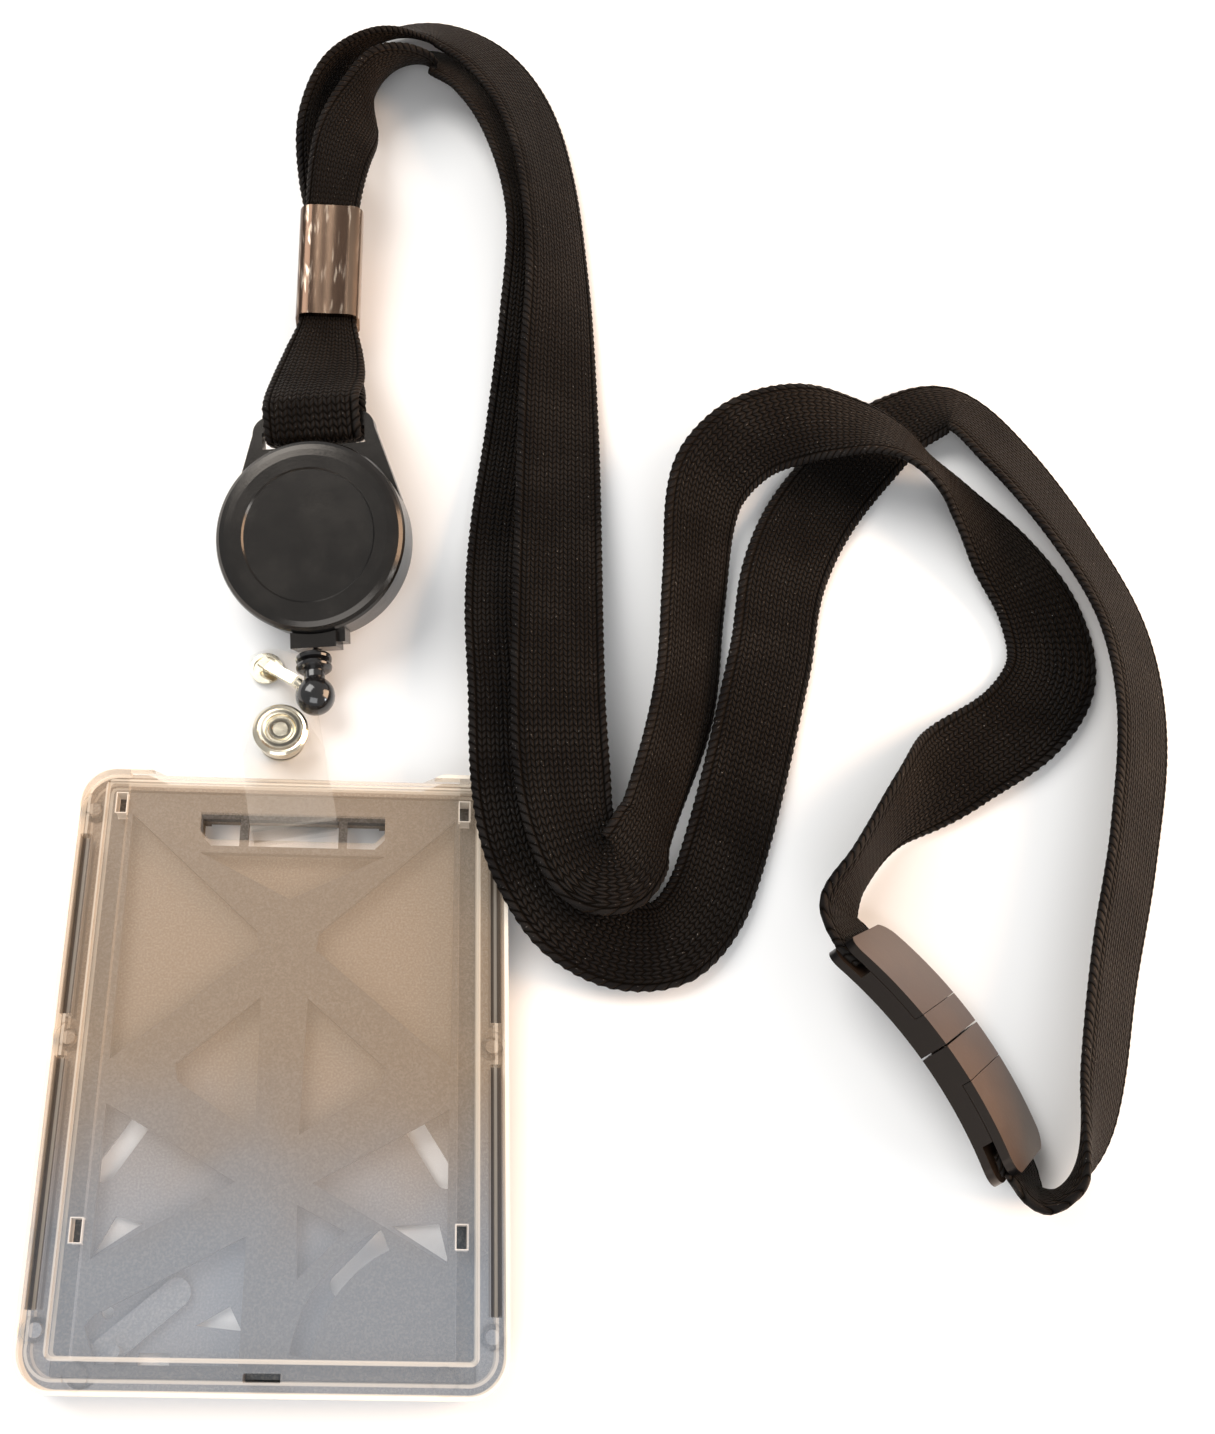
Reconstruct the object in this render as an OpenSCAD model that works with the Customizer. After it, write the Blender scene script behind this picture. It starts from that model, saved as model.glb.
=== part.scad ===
// Lanyard badge holder: a flat neck strap with a breakaway clasp and a crimp, a retracting reel,
// a metal link, a clear snap strap and a two-shell card holder. Millimetres.
// The origin is the centre of the holder's back face, which lies on the table.
// +X is to the right of the holder's front, +Y runs towards the reel, +Z comes out of the front.

/* [Part to show] */
// Node to draw, or all of them

/* [Holder] */
// Outside width
holder_width = 70; // [60:0.5:80]
// Outside length
holder_length = 93.8; // [85:0.2:105]
// Corner radius of both shells
corner_radius = 6; // [2:0.5:10]
// Top of the back shell, at the parting line
back_height = 3.4; // [3:0.1:4]
// Underside of the front shell
front_bottom = 3.6; // [3.2:0.1:4.2]
// Top of the front shell's border
holder_height = 7.6; // [7:0.1:9]
// Thickness of the back shell's floor
floor_thickness = 1; // [0.8:0.1:1.2]
// Underside of the window panel
window_bottom = 5.9; // [5.7:0.1:6.2]
// Top of the window panel
window_top = 7; // [6.8:0.1:7.4]
// Width of the card bay
bay_width = 54.6; // [54.2:0.1:56]
// Width of the strap slot
slot_width = 30; // [26:0.5:34]

/* [Rib plate] */
// Underside of the rib plate
plate_bottom = 2.4; // [2.2:0.1:2.6]
// Thickness of the rib plate
plate_thickness = 1.4; // [1:0.1:1.4]

/* [Reel] */
// Outside radius of the case
case_radius = 16.7; // [15:0.1:18]
// Radius of the post that the spool turns on
post_radius = 2; // [1.5:0.1:2.5]
// Inner radius of the wound cord
winding_inner = 9; // [8:0.1:10]
// Outer radius of the wound cord
winding_outer = 13.4; // [12:0.1:13.6]
// Radius of the pull cord
cord_radius = 0.4; // [0.3:0.05:0.5]

/* [Neck strap] */
// Width of the flat strap
strap_width = 16; // [12:0.5:20]
// Thickness of the flat strap
strap_thickness = 1.8; // [1.2:0.1:2.4]
// Width of the strap where it is gathered in the crimp
gathered_width = 10.4; // [9:0.1:10.6]
// Thickness of the strap where it is gathered in the crimp
gathered_thickness = 2.6; // [2:0.1:2.6]

/* [Snap strap] */
// Width of the clear strap
vinyl_width = 14; // [10:0.5:14.5]
// Radius of the snap cap
snap_radius = 4.7; // [4:0.1:4.8]
// Radius of the link's two round ends
link_pin = 0.9; // [0.6:0.05:1]

/* [Hidden] */
$fn = 64;
running = 0.05;

// reel: where its middle lies and how it leans on the loop of strap
reel_centre = [1.1, 88.6, 11.4];
reel_pitch = 20;
reel_bank = -11;
reel_x = [cos(reel_bank), 0, -sin(reel_bank)];
reel_y = [sin(reel_bank) * sin(reel_pitch), cos(reel_pitch), cos(reel_bank) * sin(reel_pitch)];
reel_z = [sin(reel_bank) * cos(reel_pitch), -sin(reel_pitch), cos(reel_bank) * cos(reel_pitch)];
function reel_point(p) = reel_centre + p[0] * reel_x + p[1] * reel_y + p[2] * reel_z;

// ball on the end of the pull cord, and the snap strap's own frame
ball_centre = [2.45, 61.7, 4.9];
ball_radius = 3.4;
relief_turn = 5;
link_turn = 143.13;
link_length = 11.28;
vinyl_turn = 11;
vinyl_origin = [0.3, 37, 0];
snap_at = [0.1, 18.7];
eyelet_at = [-0.75, 32.2];

// crimp and clasp
crimp_centre = [1.2, 150.95, 8];
crimp_pitch = 10;
clasp_centre = [102, 4, 8.4];
clasp_turn = -58.3;
clasp_bend = 70;

// lever in the holder's lower left corner
lever_pivot = [-25.8, -43.8];
lever_tip = [-13.4, -33.3];

// Neck strap, left strand, from the crimp to the clasp's upper end: x, y, z of the middle of
// the strap, its roll about the line of travel (0 is flat, 90 has the left edge up), and where
// it bunches in a tight turn, the share of its full width.
left_route = [
    [1.2, 152.4, 6.85, 0], [1.2, 162.3, 8.5, 0], [0, 173, 8, 16], [-1.8, 186, 8.4, 52],
    [-0.8, 199, 8.6, 90], [5, 210, 7.8, 118], [13, 216.6, 6.4, 141], [22, 217.8, 5.4, 153],
    [31.5, 212, 5.2, 157], [39, 199.5, 5.6, 153], [43.6, 180, 6.8, 146], [45.7, 155, 6.4, 147],
    [45.5, 130, 5.2, 162], [44.9, 106, 6, 172], [43.3, 62, 11.1, 178], [43.6, 47, 11.3, 180],
    [44.8, 37, 11.8, 178, 0.92], [48, 30, 11.8, 186, 0.86], [52.6, 30, 11.5, 200, 0.84],
    [55.6, 33.8, 11, 208, 0.84], [57.6, 38.6, 9, 224, 0.86], [65.5, 62, 7, 221],
    [68.6, 84, 6.6, 216], [71.8, 104.5, 7.8, 206], [79, 113.5, 9.6, 200], [89, 117.4, 10.4, 190],
    [98.5, 117.2, 10.6, 168], [106.3, 114.6, 10.8, 152, 0.9], [112.4, 110.2, 9.6, 138, 0.84],
    [119.4, 104.6, 6.2, 147, 0.9], [127, 95, 3.2, 168], [132.5, 84, 2.2, 177], [133, 72, 1.9, 180],
    [126, 62, 2.1, 180], [113, 53, 3.2, 168], [100.5, 43, 7.6, 122], [92, 32, 8.4, 112],
    [88.4, 25, 7.4, 126], [90.35, 20.9, 7.35, 134], [93, 17.9, 8.1, 134]
];

// Neck strap, right strand, from the crimp to the clasp's lower end.
right_route = [
    [1.2, 152.4, 9.7, 0], [1.2, 162.3, 11.7, 0], [2.6, 177, 12.8, 20], [5.8, 191, 10.2, 60],
    [8.2, 201, 8.6, 96], [13.5, 207.5, 7.2, 126], [20.5, 210.3, 5.1, 150], [30, 203.5, 5.3, 152],
    [37.5, 187.5, 5.7, 147], [42, 166, 5.4, 147], [41.7, 143, 3.6, 160], [39.8, 120, 2, 174],
    [36.9, 97, 3.4, 180], [35.8, 79, 6.8, 180], [36.3, 62, 8.9, 180], [36.8, 46, 9, 180],
    [38.4, 36, 8.9, 178], [41.5, 28.5, 8.5, 174], [46.2, 22.8, 6.6, 182, 0.95],
    [54.3, 19.6, 4.2, 191, 0.9], [62.8, 21.2, 3.6, 193, 0.88], [69.8, 31.4, 3.4, 194, 0.92],
    [81.8, 71, 3.5, 196], [86, 89, 2.8, 190], [93, 103.5, 1.6, 182], [104, 117.2, 1.6, 178, 0.95],
    [112, 124.2, 2.3, 173, 0.88], [121.6, 126.6, 3.8, 161, 0.88], [130.4, 116.4, 4.2, 156],
    [139.8, 97.5, 5.4, 150], [145.6, 80, 5.7, 147], [145.4, 61, 6.1, 144], [139.5, 38, 6.5, 140],
    [132.5, 17.5, 6.8, 138], [126.6, -2, 7.2, 134], [122.6, -11, 8.2, 120], [117.8, -17.4, 8.8, 94],
    [113.5, -17.9, 8, 62], [111.9, -14, 7.35, 47], [110.4, -10.2, 8.1, 47]
];

// Loop of strap from the crimp through the reel's slot and back: x, y, z and bank of its width.
loop_route = [
    [1.2, 149.8, 9.2, 0], [1.2, 139.6, 7.35, 0], [1, 131, 9, 0], [0.5, 121, 13.8, 5],
    [-0.3, 112.4, 18.6, 11], [0, 108.9, 17.6, 11], [0.3, 107, 16.2, 11], [0.6, 107.4, 14, 11],
    [1, 108.7, 12.2, 11], [0.8, 114.4, 13.4, 11], [0.8, 122, 9.6, 5], [1, 131, 5.4, 0], [1.2, 139.6, 4.7, 0],
    [1.2, 149.8, 6.5, 0]
];
loop_width = [10.4, 10.8, 14.4, 17, 17.4, 17.4, 17.4, 17.4, 17.4, 17.4, 16, 13, 10.8, 10.4];
loop_thick = [2.6, 2.5, 2, 1.7, 1.6, 1.6, 1.6, 1.6, 1.6, 1.6, 1.7, 2, 2.5, 2.6];

// ---- helpers ----

function unit(v) = v / norm(v);
function place(p) = [p[0], p[1], p[2]];
function share(p) = len(p) > 4 ? p[4] : 1;
function heading(r, i) = unit(place(r[min(i + 1, len(r) - 1)]) - place(r[max(i - 1, 0)]));
function square_to(v, t) = unit(v - (v * t) * t);
function level_right(t) = unit([t[1], -t[0], 0]);
function rolled(t, a) = square_to(cos(a) * level_right(t) - sin(a) * [0, 0, 1], t);
function banked(t, a) = square_to([cos(a), 0, sin(a)], t);
// value at ring i of n: small in the crimp, growing to full, then tail in the clasp
function gather(i, n, small, full, tail) =
    i < 2 ? small : (i == 2 ? small + (full - small) * 0.35 : (i == 3 ? small + (full - small) * 0.7 :
    (i > n - 3 ? tail : full)));
section = [[1, -0.5], [1, 0.5], [0.95, 1], [-0.95, 1], [-1, 0.5], [-1, -0.5], [-0.95, -1], [0.95, -1]];

// one closed skin through a row of flat rings
module ribbon(route, sides, widths, thicks) {
    n = len(route);
    m = len(section);
    points = [
        for (i = [0 : n - 1])
            let (t = heading(route, i), w = sides[i], u = cross(t, w))
            for (q = section) place(route[i]) + q[0] * widths[i] / 2 * w + q[1] * thicks[i] / 2 * u
    ];
    skin = [
        for (i = [0 : n - 2])
            for (k = [0 : m - 1])
                let (a = i * m + k, b = i * m + (k + 1) % m)
                each [[a, a + m, b], [b, a + m, b + m]]
    ];
    first = [for (k = [0 : m - 1]) k];
    last = [for (k = [m - 1 : -1 : 0]) (n - 1) * m + k];
    polyhedron(points, concat(skin, [first, last]));
}

// round cord through a row of points
module round_cord(path, r) {
    n = len(path);
    m = 8;
    points = [
        for (i = [0 : n - 1])
            let (t = heading(path, i), w = level_right(t), u = cross(t, w))
            for (k = [0 : m - 1]) path[i] + r * cos(360 * k / m) * w + r * sin(360 * k / m) * u
    ];
    skin = [
        for (i = [0 : n - 2])
            for (k = [0 : m - 1])
                let (a = i * m + k, b = i * m + (k + 1) % m)
                each [[a, a + m, b], [b, a + m, b + m]]
    ];
    first = [for (k = [0 : m - 1]) k];
    last = [for (k = [m - 1 : -1 : 0]) (n - 1) * m + k];
    polyhedron(points, concat(skin, [first, last]));
}

module rounded(w, l, r) {
    square([w - 2 * r, l], center = true);
    square([w, l - 2 * r], center = true);
    for (x = [-1, 1]) {
        for (y = [-1, 1]) {
            translate([x * (w / 2 - r), y * (l / 2 - r)]) circle(r);
        }
    }
}

module both_sides() {
    children();
    mirror([1, 0, 0]) children();
}

module capsule(a, b, width) {
    d = b - a;
    translate(a) circle(width / 2);
    translate(b) circle(width / 2);
    translate(a) rotate(atan2(d[1], d[0])) translate([0, -width * 0.498]) square([norm(d), width * 0.996]);
}

// ---- neck strap ----

module neck_strap(route, tail_thickness) {
    n = len(route);
    spread = [for (i = [0 : n - 1]) share(route[i]) * gather(i, n, gathered_width, strap_width, 15.4)];
    depth = [for (i = [0 : n - 1]) gather(i, n, gathered_thickness, strap_thickness, tail_thickness)];
    sides = [for (i = [0 : n - 1]) rolled(heading(route, i), route[i][3])];
    color([0.03, 0.028, 0.026])
    ribbon(route, sides, spread, depth);
}

module neck_strap_left() {
    neck_strap(left_route, 1.7);
}

module neck_strap_right() {
    neck_strap(right_route, 1.2);
}

module strap_loop() {
    color([0.03, 0.028, 0.026])
    ribbon(
        loop_route,
        [for (i = [0 : len(loop_route) - 1]) banked(heading(loop_route, i), loop_route[i][3])],
        loop_width,
        loop_thick
    );
}

// pressed metal sleeve that holds both strands and the loop
module crimp() {
    color([0.72, 0.62, 0.5])
    translate(crimp_centre)
    rotate([crimp_pitch, 0, 0])
    rotate([90, 0, 0])
    translate([0, 0, -11.5])
    linear_extrude(23) {
        difference() {
            rounded(12.2, 8, 2.4);
            rounded(10.6, 5.4, 1.2);
        }
    }
}

// ---- breakaway clasp ----

module clasp_frame() {
    translate(clasp_centre) rotate([0, 0, clasp_turn]) rotate([-45, 0, 0]) children();
}

// slice of the clasp's bowed body from x0 to x1, between two heights on its middle surface
module clasp_slice(x0, x1, low, high) {
    intersection() {
        translate([x0, -8.25, -12]) cube([x1 - x0, 16.5, 24]);
        translate([0, 0, -12]) linear_extrude(24) rounded(41, 16.5, 3);
        translate([0, 0, 1.5 - clasp_bend]) rotate([90, 0, 0]) difference() {
            cylinder(r = clasp_bend + high, h = 20, center = true, $fn = 128);
            cylinder(r = clasp_bend + low, h = 21, center = true, $fn = 128);
        }
    }
}

module clasp_socket() {
    color([0.05, 0.045, 0.04])
    clasp_frame()
    difference() {
        union() {
            clasp_slice(-20.5, -0.15, -2.2, -0.9);
            clasp_slice(-14.6, -0.15, -1.2, 0.85);
            clasp_slice(-5.3, -0.15, 0.6, 2.4);
        }
        translate([-11.6, -5.1, -0.35]) cube([12, 10.2, 1.5]);
    }
}

module clasp_socket_jaw() {
    color([0.05, 0.045, 0.04])
    clasp_frame()
    clasp_slice(-20.4, -5.4, 0.95, 2.4);
}

module clasp_plug() {
    color([0.05, 0.045, 0.04])
    clasp_frame()
    union() {
        clasp_slice(0.15, 20.5, -2.2, -0.9);
        clasp_slice(0.15, 14.6, -1.2, 0.85);
        clasp_slice(0.15, 5.9, 0.6, 2.4);
        // two springy prongs that click into the socket
        for (y = [-4.9, 2.1]) {
            translate([-11, y, -0.2]) cube([12, 2.8, 1.2]);
        }
    }
}

module clasp_plug_jaw() {
    color([0.05, 0.045, 0.04])
    clasp_frame()
    clasp_slice(6, 20.4, 0.95, 2.4);
}

// ---- reel ----

module reel_frame() {
    translate(reel_centre) rotate([reel_pitch, reel_bank, 0]) children();
}

module reel_front_cover() {
    color([0.07, 0.07, 0.075])
    reel_frame()
    rotate_extrude($fn = 128)
    polygon([
        [0, 3.2], [14.6, 3.2], [15.2, 2.6], [15.2, 1.45], [case_radius, 1.45], [case_radius, 2.9],
        [16.4, 3.6], [15.8, 4.15], [14.9, 4.5], [13.8, 4.6], [11.7, 4.6], [11.4, 4.25], [0, 4.25]
    ]);
}

module reel_back_case() {
    color([0.06, 0.06, 0.065])
    reel_frame()
    difference() {
        union() {
            translate([0, 0, -4.8]) cylinder(r = case_radius, h = 6.25, $fn = 128);
            // plate that narrows to the bar the strap loops round
            translate([0, 0, -4.8])
            linear_extrude(2.4) {
                polygon([[-15.3, 6.8], [15.3, 6.8], [11, 20], [8, 23], [-8, 23], [-11, 20]]);
                translate([-8, 20]) circle(3);
                translate([8, 20]) circle(3);
            }
            // nozzle for the cord and the small step beside it
            translate([-4, -19.2, -3]) cube([8, 6, 6]);
            translate([3.9, -18.2, -3]) cube([1.4, 4, 4.4]);
        }
        translate([0, 0, -3.4]) cylinder(r = 15.2, h = 8, $fn = 128);
        translate([0, 0, 1.45]) cylinder(r = case_radius + 0.2, h = 4, $fn = 128);
        translate([-9.25, 17.2, -6]) cube([18.5, 3, 5]);
        translate([0, -14, 0]) rotate([90, 0, 0]) cylinder(r = 0.9, h = 6);
        translate([-0.9, -16.6, -0.9]) cube([4.4, 2, 1.8]);
    }
    color([0.06, 0.06, 0.065])
    reel_frame()
    translate([0, 0, -3.5])
    cylinder(r = post_radius, h = 5.9);
}

module reel_spool() {
    color([0.75, 0.75, 0.72])
    reel_frame()
    difference() {
        union() {
            translate([0, 0, -3.1]) cylinder(r = 3, h = 4.6);
            translate([0, 0, 0.95]) cylinder(r = 14.2, h = 0.55);
            translate([0, 0, -1.6]) difference() {
                cylinder(r = winding_inner - 0.05, h = 2.6);
                translate([0, 0, -1]) cylinder(r = 8.4, h = 5);
            }
            translate([0, 0, -1.6]) difference() {
                cylinder(r = 14.2, h = 0.65);
                translate([0, 0, -1]) cylinder(r = 8.5, h = 3);
            }
        }
        translate([0, 0, -4]) cylinder(r = post_radius + running, h = 8);
    }
}

module cord_winding() {
    color([0.08, 0.08, 0.08])
    reel_frame()
    translate([0, 0, -0.85])
    difference() {
        cylinder(r = winding_outer, h = 1.7);
        translate([0, 0, -1]) cylinder(r = winding_inner + 0.05, h = 4);
    }
}

// flat spiral spring in the middle of the spool
module mainspring() {
    turns = 5;
    steps = 60;
    color([0.55, 0.56, 0.6])
    reel_frame()
    translate([0, 0, -2.7])
    linear_extrude(3.4)
    polygon(concat(
        [for (i = [0 : steps]) let (a = 360 * turns * i / steps, r = 3.3 + 4.7 * i / steps)
            [r * cos(a), r * sin(a)]],
        [for (i = [steps : -1 : 0]) let (a = 360 * turns * i / steps, r = 3.55 + 4.7 * i / steps)
            [r * cos(a), r * sin(a)]]
    ));
}

module pull_cord() {
    color([0.08, 0.08, 0.08])
    round_cord([
        reel_point([8.2, -11.2, 0]),
        reel_point([1, -15.7, 0]),
        reel_point([0, -17.2, 0]),
        reel_point([0, -19.1, 0]),
        ball_centre + [-sin(relief_turn) * 7.9, cos(relief_turn) * 7.9, 0],
        ball_centre + [-sin(relief_turn) * 7.52, cos(relief_turn) * 7.52, 0]
    ], cord_radius);
}

// ball, neck and two ribs on the cord's end, with a side hole for the link
module cord_end() {
    color([0.05, 0.045, 0.045])
    translate(ball_centre)
    difference() {
        union() {
            sphere(r = ball_radius, $fn = 96);
            rotate([0, 0, relief_turn])
            rotate([-90, 0, 0])
            rotate_extrude($fn = 96)
            polygon([
                [0, 2], [2.2, 2], [1.8, 3.2], [1.8, 4.5], [2.6, 4.7], [3.05, 5], [3.15, 5.35],
                [3.05, 5.7], [2.5, 5.95], [2.2, 6.1], [2.2, 6.2], [2.5, 6.35], [3.05, 6.5],
                [3.15, 6.9], [3.05, 7.3], [2.7, 7.5], [0, 7.5]
            ]);
        }
        rotate([0, 0, link_turn])
        rotate([0, 90, 0]) {
            translate([0, 0, -0.6]) cylinder(r = link_pin + running, h = 5);
            translate([0, 0, 2.3]) cylinder(r = 1.4, h = 3);
        }
    }
}

// flat metal link: a round pin in the ball, a sloping flat, a round pin down through the eyelet
module metal_link() {
    color([0.85, 0.83, 0.78])
    translate(ball_centre)
    rotate([0, 0, link_turn])
    union() {
        rotate([0, 90, 0]) translate([0, 0, -0.3]) cylinder(r = link_pin, h = 4.5);
        translate([0, 0.95, 0])
        rotate([90, 0, 0])
        linear_extrude(1.9)
        polygon([
            [3.65, 0.5], [4.7, 0.5], [10.9, -1.6], [12.3, -1.6], [12.3, -2.6], [10.7, -2.6],
            [4.5, -0.5], [3.65, -0.5]
        ]);
        translate([link_length, 0, -4.75]) cylinder(r = link_pin, h = 2.6);
    }
}

// ---- clear snap strap ----

module vinyl_frame() {
    translate(vinyl_origin) rotate([0, 0, vinyl_turn]) children();
}

module vinyl_profile(points) {
    translate([-vinyl_width / 2 - 1, 0, 0])
    rotate([90, 0, 90])
    linear_extrude(vinyl_width + 2)
    polygon(points);
}

module badge_strap() {
    color([0.93, 0.93, 0.9, 0.35])
    vinyl_frame()
    difference() {
        intersection() {
            vinyl_profile([
                [0.1, 0.1], [11, 0.1], [13.6, 0.6], [23.1, 0.6], [24.6, 0.1], [36, 0.1], [36, 0.7],
                [24.7, 0.7], [23.2, 1.2], [13.5, 1.2], [10.9, 0.7], [0.7, 0.7], [0.7, 7.7], [0.1, 7.7]
            ]);
            translate([0, 0, -1])
            linear_extrude(12) {
                translate([-vinyl_width / 2, 0]) square([vinyl_width, 29]);
                translate([0, 29]) circle(vinyl_width / 2);
            }
        }
        translate([snap_at[0], snap_at[1], -1]) cylinder(r = 1.6, h = 4);
        translate([eyelet_at[0], eyelet_at[1], -1]) cylinder(r = 2, h = 4);
    }
}

module strap_flap() {
    color([0.93, 0.93, 0.9, 0.35])
    vinyl_frame()
    difference() {
        intersection() {
            vinyl_profile([
                [0.1, 7.9], [10.4, 7.9], [13.6, 3.6], [24.6, 3.6], [24.6, 4.2], [13.9, 4.2],
                [10.7, 8.5], [0.1, 8.5]
            ]);
            translate([0, 0, -1])
            linear_extrude(12) {
                polygon([
                    [-vinyl_width / 2, 0], [vinyl_width / 2, 0], [vinyl_width / 2, 14.6],
                    [5.3, 18.4], [-5.3, 18.4], [-vinyl_width / 2, 14.6]
                ]);
                translate([0, 18.4]) circle(5.3);
            }
        }
        translate([snap_at[0], snap_at[1], 2]) cylinder(r = 1.4, h = 4);
    }
}

module strap_eyelet() {
    color([0.86, 0.84, 0.78])
    vinyl_frame()
    translate([eyelet_at[0], eyelet_at[1], 0])
    difference() {
        union() {
            translate([0, 0, 0.1]) cylinder(r = 1.95, h = 1);
            translate([0, 0, 0.7]) cylinder(r = 2.9, h = 0.6);
        }
        translate([0, 0, 1]) cylinder(r = 2.2, h = 1);
        translate([0, 0, -1]) cylinder(r = link_pin + running, h = 4);
    }
}

module snap_cap() {
    color([0.83, 0.8, 0.72])
    vinyl_frame()
    translate([snap_at[0], snap_at[1], 0])
    union() {
        translate([0, 0, 3.05]) cylinder(r = 1.3, h = 1.4);
        translate([0, 0, 4.2])
        rotate_extrude($fn = 96)
        polygon([
            [0, 0], [snap_radius, 0], [snap_radius, 0.45], [4.3, 0.8], [3.9, 0.75], [3.6, 1.15],
            [2.7, 1.2], [2.4, 0.7], [2.1, 0.7], [1.9, 1], [1.5, 1], [1.3, 0.75], [0, 0.75]
        ]);
    }
}

module snap_socket() {
    color([0.83, 0.8, 0.72])
    vinyl_frame()
    translate([snap_at[0], snap_at[1], 0])
    difference() {
        translate([0, 0, 1.65]) cylinder(r = 4.2, h = 1.9);
        translate([0, 0, 1]) cylinder(r = 2.15, h = 2);
        translate([0, 0, 2]) cylinder(r = 1.35, h = 3);
    }
}

module snap_stud() {
    color([0.83, 0.8, 0.72])
    vinyl_frame()
    translate([snap_at[0], snap_at[1], 0])
    difference() {
        union() {
            translate([0, 0, 1.2]) cylinder(r = 4, h = 0.3);
            translate([0, 0, 1.4]) cylinder(r = 1.95, h = 0.6);
            translate([0, 0, 1.9]) cylinder(r1 = 1.95, r2 = 2.05, h = 0.5);
            translate([0, 0, 2.4]) cylinder(r1 = 2.05, r2 = 1.8, h = 0.4);
        }
        translate([0, 0, 0]) cylinder(r = 1.45, h = 4);
    }
}

module snap_post() {
    color([0.83, 0.8, 0.72])
    vinyl_frame()
    translate([snap_at[0], snap_at[1], 0])
    union() {
        translate([0, 0, 0.1]) cylinder(r = 4, h = 0.5);
        translate([0, 0, 0.5]) cylinder(r = 1.4, h = 2.2);
    }
}

// ---- holder ----

module holder_outline() {
    difference() {
        rounded(holder_width, holder_length, corner_radius);
        // shallow dip in the top edge, where a thumb grips the card
        translate([0, holder_length / 2])
        polygon([[-24.5, 1], [-24.5, 0], [-21, -1.6], [21, -1.6], [24.5, 0], [24.5, 1]]);
    }
}

module strap_slot() {
    w = slot_width / 2;
    polygon([[-w, 39.4], [w, 39.4], [w, 36.4], [w - 1.6, 34.8], [-w + 1.6, 34.8], [-w, 36.4]]);
}

module holder_front() {
    h = holder_height - front_bottom;
    color([0.62, 0.56, 0.52, 0.75])
    difference() {
        translate([0, 0, front_bottom]) linear_extrude(h) holder_outline();
        // recess round the window panel
        translate([-30.3, -42.2, window_top]) cube([60.6, 86.4, 2]);
        // card bay, open at the top edge
        translate([-bay_width / 2, -42.2, 3]) cube([bay_width, 100, window_bottom - 3]);
        // room for the rib plate's upper face
        translate([-30.3, -45, 3]) cube([60.6, 89.2, 0.85]);
        translate([0, 0, 3]) linear_extrude(6) strap_slot();
        // four catches moulded through the panel
        for (x = [-28, 28]) {
            for (y = [40.7, -25.2]) {
                translate([x - 0.8, y - 1.65, 3]) cube([1.6, 3.3, 6]);
            }
        }
        // long grooves down the sides
        for (x = [-33, 33]) {
            translate([x - 0.8, 6, 5.4]) cube([1.6, 29, 3]);
            translate([x - 0.8, -36, 5.4]) cube([1.6, 35.7, 3]);
        }
        // latch window at the bottom
        translate([-2.5, -44.9, 3]) cube([5.2, 1.2, 6]);
        // sockets for the back shell's posts, and their round marks
        for (x = [-32.6, 32.6]) {
            for (y = [40, 2.8, -38.6]) {
                translate([x, y, 3]) cylinder(r = 1.05, h = 2.4);
                translate([x, y, 7.35]) difference() {
                    cylinder(r = 1.9, h = 1);
                    translate([0, 0, -0.5]) cylinder(r = 1.5, h = 2);
                }
            }
        }
        for (x = [-25.7, 25.7]) {
            translate([x, -44.4, 7.35]) difference() {
                cylinder(r = 2, h = 1);
                translate([0, 0, -0.5]) cylinder(r = 1.6, h = 2);
            }
        }
    }
}

module back_openings() {
    both_sides() {
        capsule([20.3, -8], [25.8, -16.4], 3.2);
        polygon([[25.2, -16.9], [28.8, -16.6], [28.8, -16], [25.2, -16.3]]);
    }
    polygon([[-26.4, -28.5], [-19.3, -23.7], [-23.5, -22.8]]);
    polygon([[17.8, -23.5], [26.4, -28.5], [24.9, -23]]);
    capsule([16.7, -25.6], [10.4, -31.9], 3.2);
    polygon([[-10.4, -37.7], [-3.7, -38.3], [-5.6, -35]]);
    polygon([[-18.3, -44], [-13.8, -44], [-13.8, -41.4], [-18.3, -41.4]]);
    translate([-23.3, -36.1]) circle(0.9);
}

module holder_back() {
    color([0.62, 0.56, 0.52, 0.75])
    union() {
        difference() {
            linear_extrude(back_height) holder_outline();
            // well under the rib plate, and the seat the plate drops into
            translate([-29, -45, floor_thickness]) cube([58, 84.4, 5]);
            translate([-29, 39, floor_thickness]) cube([13, 5.2, 5]);
            translate([16, 39, floor_thickness]) cube([13, 5.2, 5]);
            translate([-30.3, -45, plate_bottom]) cube([60.6, 89.2, 5]);
            translate([lever_pivot[0], lever_pivot[1], floor_thickness]) cylinder(r = 2.5, h = 5);
            translate([0, 0, -1]) linear_extrude(3) back_openings();
            translate([0, 0, -1]) linear_extrude(6) strap_slot();
            // relief that lets the clear strap lie flush behind the top bar
            translate([-14, 38, -1]) cube([28, 20, 1.95]);
        }
        for (x = [-32.6, 32.6]) {
            for (y = [40, 2.8, -38.6]) {
                translate([x, y, 3]) cylinder(r = 1.8, h = front_bottom - 3);
                translate([x, y, 3]) cylinder(r = 1, h = 2.3);
            }
        }
        translate([lever_pivot[0], lever_pivot[1], 0.5]) cylinder(r = 1.2, h = 1.8);
    }
}

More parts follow.
